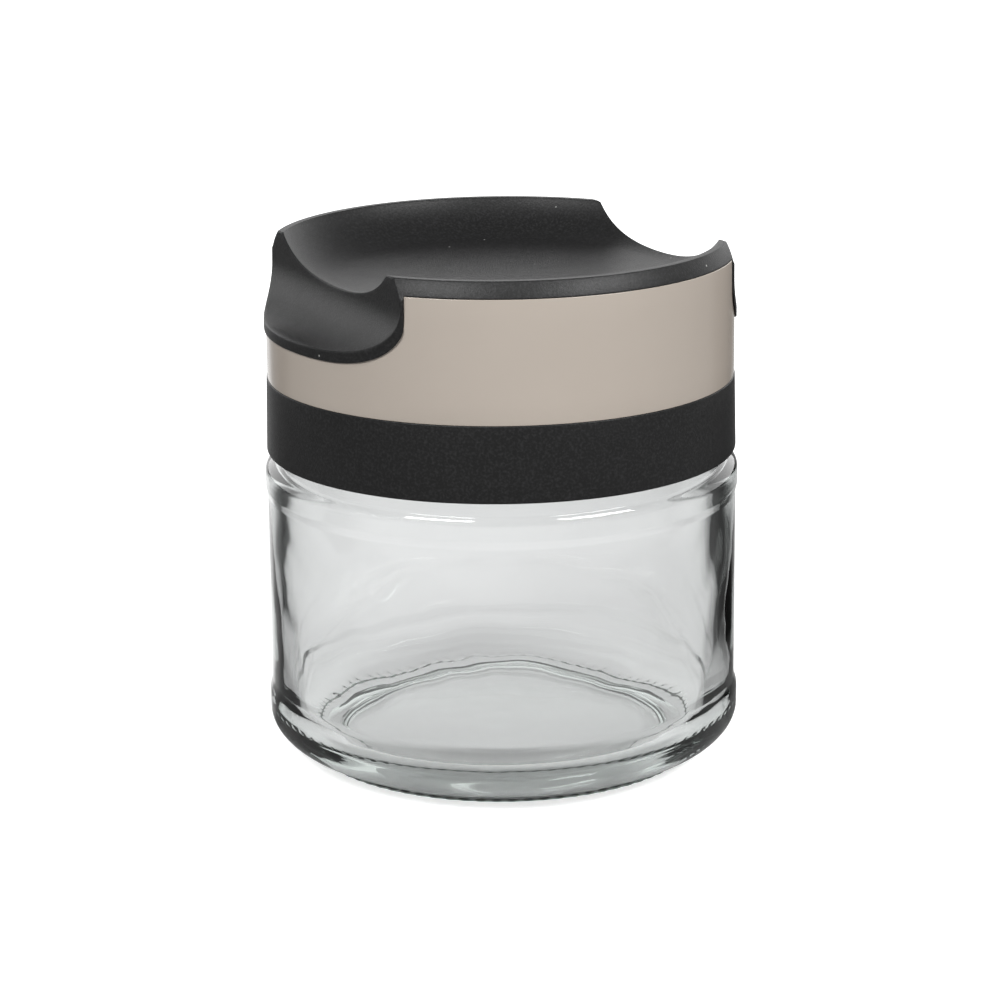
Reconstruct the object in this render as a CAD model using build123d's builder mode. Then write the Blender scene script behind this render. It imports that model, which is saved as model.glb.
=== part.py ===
from build123d import *
import os
from math import acos, asin, atan2, cos, degrees, hypot, radians, sin

# Spice jar: a clear glass jar closed by a screw lid, which carries a coloured band and a
# dished cover with a finger scoop on each side.
# Lengths are in millimetres. The origin is the centre of the base, +Z is up, and the
# scoops lie on +X and -X.

# Glass: foot and heel
foot_inset = 7.9
foot_round_depth = 2.2
foot_round_height = 0.7
bearing_width = 3.2
push_up = 2.4
heel_clearance = 1.25
heel_depth = 12.2
heel_rise = 7.9

# Glass: wall
panel_radius = 47.55
panel_height = 37.6
heel_bead_rise = 0.6
heel_bead_height = 3.5
heel_bead_slope = 2.3
groove_depth = 0.2
groove_height = 0.7
shoulder_bead_rise = 0.35
shoulder_bead_slope = 1.6
shoulder_bead_height = 6.5
shoulder_round = 4.0
bead_round = 6.0
glass_wall = 2.9
glass_floor = 4.1
inner_heel_round = 7.5
inner_shoulder_round = 1.9

# Glass: neck
neck_inset = 4.35
neck_height = 14.2
neck_wall = 2.6
brim_round = 1.0

# Seal ring
seal_height = 1.5
seal_fit = 0.3
seal_edge = 0.25

# Lid core: skirt, deck and upstand
skirt_gap = 1.9
skirt_height = 15.15
thread_room = 2.1
skirt_wall = 2.15
skirt_taper = 0.3
skirt_edge = 0.45
skirt_shoulder_edge = 0.2
skirt_lead_in = 0.5
deck_thickness = 2.0
deck_round = 0.8
plug_fit = 1.0
plug_wall = 1.1
plug_height = 4.0
plug_edge = 0.35
upstand_height = 8.4
upstand_wall = 1.8

# Coloured band
band_step = 0.15
band_wall = 1.8
band_height = 24.2
band_edge = 0.3
band_fit = 0.1
notch_depth = 10.7
notch_floor = 9.85
notch_round = 10.25

# Cover: rim and dish
rim_height = 3.2
rim_width = 1.6
rim_edge = 0.25
bevel_width = 1.6
bevel_bulge = 0.12
bevel_edge = 0.25
cover_wall = 2.0
cover_skirt_wall = 1.8
dish_depth = 9.0
dish_bowl = 305.0
dish_round = 14.05

# Cover: finger scoops, and the lip that lines each notch of the band
scoop_step = 0.3
scoop_rise = 2.05
scoop_round = 9.5
lip_rise = 0.4
lip_edge = 0.35
lip_fit = 0.05

# Cover: snap legs
leg_angles = (60, 120, 240, 300)
leg_span = 14.0
leg_wall = 1.8
leg_drop = 6.4
leg_fit = 0.2
leg_root = 5.0
hook_reach = 1.4
hook_height = 2.2
hook_nose = 0.5
window_fit = 0.15
window_span = 15.0

overrun = 5.0

# Heights that follow
heel_top = heel_clearance + heel_rise
heel_bead_top = heel_top + heel_bead_height
panel_bottom = heel_bead_top + heel_bead_slope
panel_top = panel_bottom + panel_height
groove_top = panel_top + groove_height
shoulder_bead_bottom = groove_top + shoulder_bead_slope
shoulder_top = shoulder_bead_bottom + shoulder_bead_height
brim_top = shoulder_top + neck_height
deck_bottom = brim_top + seal_height
deck_top = deck_bottom + deck_thickness
skirt_bottom = shoulder_top + skirt_gap
skirt_top = skirt_bottom + skirt_height
upstand_top = deck_top + upstand_height
band_top = skirt_top + band_height
rim_top = band_top + rim_height
notch_height = skirt_top + notch_floor
scoop_ledge = notch_height + scoop_rise
leg_bottom = upstand_top - leg_drop
hook_top = leg_bottom + hook_height

# Radii and slopes that follow
heel_radius = panel_radius + heel_bead_rise
foot_radius = heel_radius - foot_inset
heel_centre = heel_radius - heel_depth
heel_angle = degrees(acos((foot_radius - heel_centre) / heel_depth))
groove_radius = panel_radius - groove_depth
shoulder_radius = panel_radius + shoulder_bead_rise
inner_radius = panel_radius - glass_wall
neck_radius = panel_radius - neck_inset
mouth_radius = neck_radius - neck_wall
plug_radius = mouth_radius - plug_fit
skirt_bore_radius = neck_radius + thread_room
skirt_foot_radius = skirt_bore_radius + skirt_wall
skirt_top_radius = skirt_foot_radius - skirt_taper
band_radius = skirt_top_radius - band_step
band_bore_radius = band_radius - band_wall
upstand_radius = band_bore_radius - band_fit
upstand_bore_radius = upstand_radius - upstand_wall
cover_skirt_radius = band_bore_radius - 2 * band_fit
cover_bore_radius = cover_skirt_radius - cover_skirt_wall
leg_radius = upstand_bore_radius - leg_fit
rim_outer_radius = band_radius - bevel_width
rim_inner_radius = rim_outer_radius - rim_width
notch_chord = band_radius - notch_depth
scoop_chord = notch_chord + scoop_step
lip_radius = band_radius + lip_rise
bevel_slope = rim_height / bevel_width
open_side = lip_radius + overrun
open_top = rim_top + overrun

# The push-up under the base and the floor above it are parts of spheres
bearing_radius = foot_radius - foot_round_depth
push_up_radius = bearing_radius - bearing_width
push_up_sphere = (push_up_radius**2 + push_up**2) / (2 * push_up)
push_up_angle = degrees(asin(push_up_radius / push_up_sphere))
floor_centre = push_up - push_up_sphere
floor_sphere = push_up_sphere + glass_floor
floor_radius = inner_radius - inner_heel_round
floor_angle = degrees(asin(floor_radius / floor_sphere))
floor_edge = floor_centre + floor_sphere * cos(radians(floor_angle))
inner_heel_top = floor_edge + inner_heel_round

# The dish is a shallow bowl, which turns up to the rim through a tighter round. The round
# touches the bowl and meets the rim's inner edge, so its centre follows from a triangle
# between the bowl's centre, its own centre and that edge.
dish_floor = rim_top - dish_depth
dish_centre = dish_floor + dish_bowl
centre_reach = dish_bowl - dish_round
rim_reach = hypot(rim_inner_radius, dish_centre - rim_top)
rim_cosine = (rim_reach**2 + centre_reach**2 - dish_round**2) / (2 * rim_reach * centre_reach)
dish_angle = degrees(atan2(rim_inner_radius, dish_centre - rim_top) - acos(rim_cosine))
round_radius = centre_reach * sin(radians(dish_angle))
round_height = dish_centre - centre_reach * cos(radians(dish_angle))
rim_angle = degrees(atan2(rim_top - round_height, rim_inner_radius - round_radius))
under_round = dish_round + cover_wall
under_angle = -degrees(acos((cover_bore_radius - round_radius) / under_round))
under_height = round_height + under_round * sin(radians(under_angle))


def scoop_outlines(chord, ledge, blend):
    # Upright outlines of the space outside a wall, a hollow round and a ledge, on both sides
    with BuildSketch(Plane.XZ) as outlines:
        with BuildLine():
            FilletPolyline(
                (chord, open_top),
                (chord, ledge),
                (open_side, ledge),
                (open_side, open_top),
                radius=(0, blend, 0, 0),
                close=True,
            )
        make_face()
        mirror(about=Plane.YZ)
    return outlines.sketch


def edges_at(piece, radius):
    # Edges whose middles lie at this distance from the upright axis
    middles = {edge: edge @ 0.5 for edge in piece.edges()}
    return ShapeList(
        edge for edge, middle in middles.items() if abs(hypot(middle.X, middle.Y) - radius) < lip_fit
    )


# Glass jar
with BuildPart() as glass_jar:
    with BuildSketch(Plane.XZ):
        with BuildLine():
            # Push-up, bearing face and heel
            CenterArc((0, floor_centre), push_up_sphere, 90, -push_up_angle)
            heel = EllipticalCenterArc(
                (heel_centre, heel_top), heel_depth, heel_rise, start_angle=-heel_angle, arc_size=heel_angle
            )
            Polyline(
                (push_up_radius, 0),
                (bearing_radius, 0),
                (foot_radius, foot_round_height),
                heel @ 0,
            )
            # Heel bead, panel, groove, shoulder bead, shoulder, neck and the inside wall
            FilletPolyline(
                (heel_radius, heel_top),
                (heel_radius, heel_bead_top),
                (panel_radius, panel_bottom),
                (panel_radius, panel_top),
                (groove_radius, groove_top),
                (shoulder_radius, shoulder_bead_bottom),
                (shoulder_radius, shoulder_top),
                (neck_radius, shoulder_top),
                (neck_radius, brim_top),
                (mouth_radius, brim_top),
                (mouth_radius, shoulder_top - glass_wall),
                (inner_radius, shoulder_top - glass_wall),
                (inner_radius, inner_heel_top),
                radius=(
                    bead_round,
                    bead_round,
                    groove_height,
                    groove_height,
                    shoulder_bead_slope,
                    shoulder_round,
                    0,
                    brim_round,
                    brim_round,
                    inner_shoulder_round,
                    inner_shoulder_round,
                ),
            )
            # Inner heel, floor and axis
            CenterArc((floor_radius, inner_heel_top), inner_heel_round, 0, -90)
            CenterArc((0, floor_centre), floor_sphere, 90, -floor_angle)
            Line((0, push_up), (0, push_up + glass_floor))
        make_face()
    revolve(axis=Axis.Z)

# Seal ring, between the brim and the deck
with BuildPart() as seal_ring:
    with BuildSketch(Plane.XY.offset(brim_top)):
        Circle(skirt_bore_radius - seal_fit)
        Circle(plug_radius + seal_fit, mode=Mode.SUBTRACT)
    extrude(amount=seal_height)
    fillet(seal_ring.edges().filter_by(GeomType.CIRCLE).sort_by(SortBy.RADIUS)[-2:], seal_edge)

# Lid core: threaded skirt, deck with a plug ring, and the upstand for band and cover
with BuildPart() as lid_core:
    with BuildSketch(Plane.XZ):
        with BuildLine():
            FilletPolyline(
                (0, deck_bottom),
                (plug_radius - plug_wall, deck_bottom),
                (plug_radius - plug_wall, deck_bottom - plug_height),
                (plug_radius, deck_bottom - plug_height),
                (plug_radius, deck_bottom),
                (skirt_bore_radius, deck_bottom),
                (skirt_bore_radius, skirt_bottom + skirt_lead_in),
                (skirt_bore_radius + skirt_lead_in, skirt_bottom),
                (skirt_foot_radius, skirt_bottom),
                (skirt_top_radius, skirt_top),
                (upstand_radius, skirt_top),
                (upstand_radius, upstand_top),
                (upstand_bore_radius, upstand_top),
                (upstand_bore_radius, deck_top),
                (0, deck_top),
                radius=(
                    deck_round,
                    plug_edge,
                    plug_edge,
                    0,
                    0,
                    0,
                    0,
                    skirt_edge,
                    skirt_shoulder_edge,
                    0,
                    0,
                    0,
                    deck_round,
                ),
            )
            Line((0, deck_top), (0, deck_bottom))
        make_face()
    revolve(axis=Axis.Z)
    # Windows in the upstand, one for each hook
    for angle in leg_angles:
        with BuildSketch(Plane.XZ.rotated((0, 0, angle - window_span / 2))):
            with BuildLine():
                Polyline(
                    (leg_radius, leg_bottom),
                    (upstand_radius + overrun, leg_bottom),
                    (upstand_radius + overrun, hook_top + window_fit),
                    (leg_radius, hook_top + window_fit),
                    close=True,
                )
            make_face()
        revolve(axis=Axis.Z, revolution_arc=window_span, mode=Mode.SUBTRACT)

# Coloured band, notched where the scoops are
with BuildPart() as colour_band:
    with BuildSketch(Plane.XY.offset(skirt_top)):
        Circle(band_radius)
        Circle(band_bore_radius, mode=Mode.SUBTRACT)
    extrude(amount=band_height)
    notches = scoop_outlines(notch_chord, notch_height, notch_round)
    extrude(notches, amount=open_side, both=True, mode=Mode.SUBTRACT)
    fillet(edges_at(colour_band, band_radius), band_edge)

# Lip of the cover, which lines the notches of the band and stands a little proud of it
with BuildPart() as scoop_lip:
    with BuildSketch(Plane.XZ):
        with BuildLine():
            Polyline(
                (cover_bore_radius, upstand_top),
                (lip_radius, upstand_top),
                (lip_radius, band_top - lip_rise * bevel_slope),
                (band_radius, band_top),
                (cover_bore_radius, band_top),
                close=True,
            )
        make_face()
    revolve(axis=Axis.Z)
    notches = scoop_outlines(notch_chord + lip_fit, notch_height + lip_fit, notch_round)
    extrude(notches, amount=open_side, both=True, mode=Mode.INTERSECT)

# Hollow under the cover's dish, which leaves an even wall inside the scoops
with BuildPart() as cover_hollow:
    with BuildSketch(Plane.XZ):
        with BuildLine():
            Polyline(
                (0, dish_floor - cover_wall),
                (0, upstand_top - overrun),
                (cover_bore_radius, upstand_top - overrun),
                (cover_bore_radius, under_height),
            )
            CenterArc(
                (round_radius, round_height),
                under_round,
                under_angle,
                dish_angle - 90 - under_angle,
            )
            CenterArc((0, dish_centre), dish_bowl + cover_wall, dish_angle - 90, -dish_angle)
        make_face()
    revolve(axis=Axis.Z)
    walls = scoop_outlines(
        scoop_chord - cover_wall, scoop_ledge - cover_wall, scoop_round + cover_wall
    )
    extrude(walls, amount=open_side, both=True, mode=Mode.SUBTRACT)

# Top cover: dish, rim and bevel, a skirt inside the band, the scoops and four snap legs
with BuildPart() as top_cover:
    with BuildSketch(Plane.XZ) as cover_profile:
        with BuildLine():
            CenterArc((0, dish_centre), dish_bowl, -90, dish_angle)
            CenterArc(
                (round_radius, round_height),
                dish_round,
                dish_angle - 90,
                rim_angle - dish_angle + 90,
            )
            Line((rim_inner_radius, rim_top), (rim_outer_radius, rim_top))
            SagittaArc((rim_outer_radius, rim_top), (band_radius, band_top), -bevel_bulge)
            Polyline(
                (band_radius, band_top),
                (cover_skirt_radius, band_top),
                (cover_skirt_radius, upstand_top),
                (0, upstand_top),
                (0, dish_floor),
            )
        make_face()
        fillet(cover_profile.vertices().sort_by(Axis.X)[-1], bevel_edge)
        fillet(cover_profile.vertices().group_by(Axis.Y)[-1].sort_by(Axis.X)[-1], rim_edge)
        chamfer(cover_profile.vertices().group_by(Axis.Y)[-1].sort_by(Axis.X)[0], rim_edge)
    revolve(axis=Axis.Z)
    add(scoop_lip.part)
    scoops = scoop_outlines(scoop_chord, scoop_ledge, scoop_round)
    extrude(scoops, amount=open_side, both=True, mode=Mode.SUBTRACT)
    ledge_edges = edges_at(top_cover, lip_radius).filter_by_position(
        Axis.Z, scoop_ledge, scoop_ledge + scoop_round
    )
    fillet(ledge_edges, lip_edge)
    add(cover_hollow.part, mode=Mode.SUBTRACT)
    # Legs reach down inside the upstand, and their hooks catch in its windows
    for angle in leg_angles:
        with BuildSketch(Plane.XZ.rotated((0, 0, angle - leg_span / 2))):
            with BuildLine():
                Polyline(
                    (leg_radius - leg_wall, leg_bottom),
                    (leg_radius, leg_bottom),
                    (leg_radius + hook_reach, hook_top - hook_nose),
                    (leg_radius + hook_reach, hook_top),
                    (leg_radius, hook_top),
                    (leg_radius, upstand_top),
                    (cover_bore_radius + cover_skirt_wall / 2, upstand_top),
                    (cover_bore_radius + cover_skirt_wall / 2, upstand_top + leg_root),
                    (leg_radius - leg_wall, upstand_top + leg_root),
                    close=True,
                )
            make_face()
        revolve(axis=Axis.Z, revolution_arc=leg_span)

pieces = {
    "glass_jar": glass_jar,
    "seal_ring": seal_ring,
    "lid_core": lid_core,
    "colour_band": colour_band,
    "top_cover": top_cover,
}
os.makedirs("parts", exist_ok=True)
for name, piece in pieces.items():
    piece.part.label = name
    export_step(piece.part, f"parts/{name}.step")
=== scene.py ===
from functools import partialmethod
from math import acos, atan2, ceil, cos, degrees, hypot, pi, radians, sin, sqrt, tan

import bmesh
import bpy
from mathutils import Matrix, Vector, noise


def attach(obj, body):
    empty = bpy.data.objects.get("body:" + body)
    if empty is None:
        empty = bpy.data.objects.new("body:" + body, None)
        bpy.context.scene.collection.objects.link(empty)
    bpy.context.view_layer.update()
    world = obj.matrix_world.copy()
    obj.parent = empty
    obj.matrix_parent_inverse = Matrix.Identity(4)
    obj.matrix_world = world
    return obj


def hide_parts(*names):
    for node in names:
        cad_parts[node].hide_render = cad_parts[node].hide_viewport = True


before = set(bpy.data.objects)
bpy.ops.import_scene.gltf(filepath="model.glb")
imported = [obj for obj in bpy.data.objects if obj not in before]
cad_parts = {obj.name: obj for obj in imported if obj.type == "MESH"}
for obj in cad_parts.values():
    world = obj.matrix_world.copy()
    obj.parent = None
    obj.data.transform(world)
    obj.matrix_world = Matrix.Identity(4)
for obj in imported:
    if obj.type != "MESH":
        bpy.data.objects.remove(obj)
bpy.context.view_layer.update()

mm = 0.001               # all outlines below are in millimetres
beyond = 60.0            # past the object's side
print("frame loaded")


class Sizes(dict):
    # A dictionary whose values are also read by name
    __getattr__ = dict.__getitem__


# Outlines are lists of (radius, height)

def roundedPath(corners, stepDegrees):
    # Corners are (radius, height, radius of the round); the ends have none
    path = []
    for index, (radius, height, bend) in enumerate(corners):
        here = Vector((radius, height))
        if bend == 0 or index in (0, len(corners) - 1):
            path.append(here)
            continue
        back = (Vector(corners[index - 1][:2]) - here).normalized()
        onward = (Vector(corners[index + 1][:2]) - here).normalized()
        half = back.angle(onward) / 2
        reach = bend / tan(half)
        centre = here + (back + onward).normalized() * bend / sin(half)
        first, last = here + back * reach - centre, here + onward * reach - centre
        turn = first.angle(last)
        steps = max(2, round(degrees(turn) / stepDegrees))
        for step in range(steps + 1):
            t = step / steps
            spoke = (first * sin((1 - t) * turn) + last * sin(t * turn)) / sin(turn)
            path.append(centre + spoke)
    return path


def arcPath(centre, radii, start, end, steps):
    # An arc of a circle or of an ellipse, its angles in degrees
    across, up = radii
    angles = [radians(start + (end - start) * step / steps) for step in range(steps + 1)]
    return [Vector((centre[0] + across * cos(a), centre[1] + up * sin(a))) for a in angles]


def divided(path, longest):
    # The same path with its long runs divided
    finer = [path[0]]
    for a, b in zip(path, path[1:]):
        parts = max(1, ceil((b - a).length / longest))
        finer += [a.lerp(b, part / parts) for part in range(1, parts + 1)]
    return finer


class Line2:
    # A path that is read by its length, and can be stretched sideways for a slanting section
    def __init__(self, path):
        self.path = path
        self.marks = [0.0]
        for a, b in zip(path, path[1:]):
            self.marks.append(self.marks[-1] + (b - a).length)
        self.end = self.marks[-1]

    def at(self, mark, cosine=1.0):
        mark = min(max(mark, 0.0), self.end)
        for index in range(1, len(self.marks)):
            if mark <= self.marks[index] or index == len(self.marks) - 1:
                span = self.marks[index] - self.marks[index - 1]
                share = (mark - self.marks[index - 1]) / span if span else 0.0
                point = self.path[index - 1].lerp(self.path[index], share)
                return Vector((point.x / cosine, point.y))

    def between(self, first, last, cosine=1.0):
        # One point for each of the path's own, kept between two marks
        return [self.at(min(max(mark, first), last), cosine) for mark in self.marks]

    def firstWhere(self, test):
        # The first mark at which a test turns true
        for index in range(1, len(self.path)):
            if test(self.path[index]):
                low, high = self.marks[index - 1], self.marks[index]
                for _ in range(30):
                    middle = (low + high) / 2
                    if test(self.at(middle)):
                        high = middle
                    else:
                        low = middle
                return high
        return self.end


def bendPoints(a, corner, b, count):
    # Points of a small round between two runs
    points = []
    for step in range(1, count + 1):
        t = step / (count + 1)
        points.append(a * (1 - t) ** 2 + corner * 2 * t * (1 - t) + b * t ** 2)
    return points


def run(a, b, count):
    return [a.lerp(b, step / count) for step in range(1, count + 1)]


class Section(list):
    # Points of an upright section
    def to(self, end, count):
        self += run(self[-1], end, count)

    def bend(self, corner, end, count):
        self += bendPoints(self[-1], corner, end, count)


# Meshes

def smoothShade(mesh, sharpAngle=32.0):
    mesh.shade_smooth()
    mesh.set_sharp_from_angle(angle=radians(sharpAngle))


def finishMesh(name, verts, faces):
    mesh = bpy.data.meshes.new(name)
    mesh.from_pydata([tuple(v) for v in verts], [], faces)
    work = bmesh.new()
    work.from_mesh(mesh)
    bmesh.ops.remove_doubles(work, verts=work.verts, dist=0.004 * mm)
    bmesh.ops.dissolve_degenerate(work, edges=work.edges, dist=0.001 * mm)
    bmesh.ops.recalc_face_normals(work, faces=work.faces)
    work.to_mesh(mesh)
    work.free()
    smoothShade(mesh)
    return mesh


def addObject(name, data):
    added = bpy.data.objects.new(name, data)
    bpy.context.scene.collection.objects.link(added)
    return added


def quad(first, second, i, k):
    # A face between two rows that start at first and second, from place i to place k
    return first + i, first + k, second + k, second + i


def ringFaces(faces, first, firstCount, second, secondCount):
    # Faces between two rings, which have the same count, or twice the count, or are a pole
    if firstCount == 1 or secondCount == 1:
        pole, ring, count = (first, second, secondCount) if firstCount == 1 else (second, first, firstCount)
        faces += [(pole, ring + i, ring + (i + 1) % count) for i in range(count)]
    elif firstCount == secondCount:
        faces += [quad(first, second, i, (i + 1) % firstCount) for i in range(firstCount)]
    else:
        coarse, fine, n = (first, second, firstCount) if firstCount < secondCount else (second, first, secondCount)
        for i in range(n):
            a, b = coarse + i, coarse + (i + 1) % n
            p, q, r = fine + 2 * i, fine + 2 * i + 1, fine + (2 * i + 2) % (2 * n)
            faces += [(a, q, p), (a, b, q), (b, r, q)]


def ringMesh(name, rings, closed=False, shift=None):
    # Rings are (radius, height, count); shift moves a ring's point
    verts, faces, starts = [], [], []
    for index, (radius, height, count) in enumerate(rings):
        count = 1 if radius < 0.001 else count
        starts.append((len(verts), count))
        for i in range(count):
            angle = 2 * pi * i / count
            point = Vector((radius * cos(angle), radius * sin(angle), height))
            if shift:
                point = shift(index, point)
            verts.append(point * mm)
    for a, b in zip(starts, starts[1:]):
        ringFaces(faces, *a, *b)
    if closed:
        ringFaces(faces, *starts[-1], *starts[0])
    return finishMesh(name, verts, faces)


def turned(point, azimuth):
    # A point of an upright section at its azimuth, in metres
    a = radians(azimuth)
    return Vector((point.x * cos(a), point.x * sin(a), point.y)) * mm


def columnMesh(name, columns, closed=False):
    # Columns are (azimuth in degrees, points of its upright section), all with as many points
    verts, faces = [], []
    rows = len(columns[0][1])
    for azimuth, section in columns:
        verts += [turned(p, azimuth) for p in section]
    for j in range(len(columns)):
        here, there = j * rows, (j + 1) % len(columns) * rows
        for i in range(rows if closed else rows - 1):
            faces.append(quad(i, (i + 1) % rows, here, there))
    return finishMesh(name, verts, faces)


def spread(start, step, count):
    return {start + i * step for i in range(count)}


def slant(angle):
    # How far a section at an angle from the scoops' axis lies along that axis, kept off zero
    return max(cos(radians(angle)), 1e-6)


def fullTurn(quarter):
    # Azimuths of a whole turn from those of a quarter, each with its angle from the scoops' axis
    turn = [(a, a) for a in quarter]
    turn += [(180 - a, a) for a in reversed(quarter[:-1])]
    turn += [(180 + a, a) for a in quarter[1:]]
    turn += [(360 - a, a) for a in reversed(quarter[1:-1])]
    return turn


# Node trees

class Net:
    # Adds nodes to one tree; a value is a number, a colour or the output of another node
    def __init__(self, tree):
        self.tree = tree

    def feed(self, node, inputs):
        # Inputs go by name or by number
        for key, value in dict(inputs).items():
            if isinstance(value, bpy.types.NodeSocket):
                self.tree.links.new(value, node.inputs[key])
            else:
                node.inputs[key].default_value = value
        return node

    def add(self, kind, inputs=(), **settings):
        node = self.tree.nodes.new(kind)
        for name, value in settings.items():
            setattr(node, name, value)
        return self.feed(node, inputs)

    def out(self, kind, inputs=(), **settings):
        # The first output of a new node
        return self.add(kind, inputs, **settings).outputs[0]

    def geo(self, kind, inputs=(), **settings):
        return self.out("GeometryNode" + kind, inputs, **settings)

    def calc(self, operation, *values):
        return self.out("ShaderNodeMath", enumerate(values), operation=operation)

    plus = partialmethod(calc, "ADD")
    minus = partialmethod(calc, "SUBTRACT")
    times = partialmethod(calc, "MULTIPLY")
    over = partialmethod(calc, "DIVIDE")

    def step(self, value, low, high, fromValue=0.0, toValue=1.0, kind="SMOOTHSTEP"):
        # A smooth step of a value between two limits
        return self.out("ShaderNodeMapRange", enumerate((value, low, high, fromValue, toValue)),
                        interpolation_type=kind)

    def ramp(self, value, low, high, fromValue, toValue):
        return self.step(value, low, high, fromValue, toValue, "LINEAR")

    def vector(self, *parts):
        return self.out("ShaderNodeCombineXYZ", enumerate(parts))

    def dot(self, place, direction):
        return self.add("ShaderNodeVectorMath", {0: place, 1: direction}, operation="DOT_PRODUCT").outputs["Value"]

    def red(self, colour):
        return self.out("ShaderNodeSeparateColor", {0: colour})

    def noise(self, place, scale, detail=2.0, rough=0.5):
        return self.add("ShaderNodeTexNoise", {
            "Scale": scale, "Detail": detail, "Roughness": rough, "Vector": place}).outputs["Fac"]

    def mix(self, share, first, second):
        return self.add("ShaderNodeMix", {0: share, 6: first, 7: second}, data_type="RGBA").outputs[2]

    def bump(self, height, strength, distance, before=None):
        inputs = {"Strength": strength, "Distance": distance, "Height": height}
        if before:
            inputs["Normal"] = before
        return self.out("ShaderNodeBump", inputs)


# Geometry node trees, with the values of a piece's dictionary as their inputs

def newTree(name, values):
    tree = bpy.data.node_groups.new(name, "GeometryNodeTree")
    tree.interface.new_socket("Geometry", in_out="INPUT", socket_type="NodeSocketGeometry")
    for label, value in values.items():
        kind = "NodeSocketInt" if isinstance(value, int) else "NodeSocketFloat"
        tree.interface.new_socket(label, in_out="INPUT", socket_type=kind).default_value = value
    tree.interface.new_socket("Material", in_out="INPUT", socket_type="NodeSocketMaterial")
    tree.interface.new_socket("Geometry", in_out="OUTPUT", socket_type="NodeSocketGeometry")
    net = Net(tree)
    return net, net.add("NodeGroupInput").outputs


def closeTree(net, get, geometry):
    real = net.geo("RealizeInstances", {0: geometry})
    painted = net.geo("SetMaterial", {0: real, "Material": get["Material"]})
    net.add("NodeGroupOutput", {0: painted})
    return net.tree


def polarPlace(net):
    position = net.geo("InputPosition")
    x, y, z = net.add("ShaderNodeSeparateXYZ", {0: position}).outputs
    radius = net.calc("SQRT", net.calc("MULTIPLY_ADD", x, x, net.times(y, y)))
    turn = net.over(net.calc("ARCTAN2", y, x), 2 * pi)
    return x, y, z, radius, turn


def closeMoved(net, get, x, y, growth, lift):
    # Ends a tree that moves the points out from the axis, and up
    offset = net.vector(net.times(x, growth), net.times(y, growth), lift)
    return closeTree(net, get, net.geo("SetPosition", {
        "Geometry": get["Geometry"], "Offset": offset}))


def fades(net, get, value, low, high):
    # Steps up inside a lower limit and down inside an upper one
    return (net.step(value, get[low], net.plus(get[low], get["Fade"])),
            net.step(value, net.minus(get[high], get["Fade"]), get[high], 1.0, 0.0))


def bakeTree(piece, tree, material):
    # Turns a tree's result into the piece's mesh
    modifier = piece.modifiers.new(tree.name, "NODES")
    modifier.node_group = tree
    names = {item.name: item.identifier for item in tree.interface.items_tree if item.in_out == "INPUT"}
    modifier[names["Material"]] = material
    bpy.context.view_layer.update()
    ready = piece.evaluated_get(bpy.context.evaluated_depsgraph_get())
    mesh = bpy.data.meshes.new_from_object(ready)
    piece.modifiers.clear()
    old = piece.data
    piece.data = mesh
    bpy.data.meshes.remove(old)
    mesh.name = piece.name
    smoothShade(mesh)


def knurlTree(values):
    # Short bars across the ring that the jar stands on, with hollows between them
    net, get = newTree("footKnurls", values)
    x, y, z, radius, turn = polarPlace(net)
    phase = net.calc("FRACT", net.times(turn, get["Count"]))
    fromBar = net.calc("ABSOLUTE", net.minus(phase, 0.5))
    half = net.times(get["Bar share"], 0.5)
    hollow = net.step(fromBar, net.minus(half, get["Slope inside"]), net.plus(half, get["Slope outside"]))
    inside, outside = fades(net, get, radius, "Inner radius", "Outer radius")
    low = net.step(z, net.times(get["Top"], get["Full share"]), get["Top"], 1.0, 0.0)
    share = net.times(net.times(hollow, inside), net.times(outside, low))
    lift = net.times(share, get["Depth"])
    inward = net.times(net.over(lift, net.calc("MAXIMUM", radius, mm)), get["Inward"])
    return closeMoved(net, get, x, y, inward, lift)


def threadTree(values):
    # Thread ribs raised on the neck
    net, get = newTree("neckThread", values)
    x, y, z, radius, turn = polarPlace(net)
    pitch = net.over(get["Lead"], get["Starts"])
    climb = net.minus(net.over(z, pitch), net.times(turn, get["Starts"]))
    fromRib = net.times(net.calc("PINGPONG", climb, 0.5), pitch)
    half = net.times(get["Crest width"], 0.5)
    rib = net.step(fromRib, half, net.plus(half, get["Flank"]), 1.0, 0.0)
    above, below = fades(net, get, z, "Bottom", "Top")
    outer = net.calc("GREATER_THAN", radius, net.minus(get["Neck radius"], 0.5 * mm))
    share = net.times(net.times(rib, outer), net.times(above, below))
    growth = net.over(net.times(share, get["Rib height"]), radius)
    return closeMoved(net, get, x, y, growth, 0.0)


def ringSpots(net, count):
    # Points, and the angle of each when they are spread over a whole turn
    spots = net.geo("Points", {"Count": count})
    number = net.geo("InputIndex")
    return spots, number, net.over(net.times(number, 2 * pi), count)


def ringCopies(net, spots, instance, turn):
    return net.geo("InstanceOnPoints", {
        "Points": spots, "Instance": instance, "Rotation": net.vector(0, 0, turn)})


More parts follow.
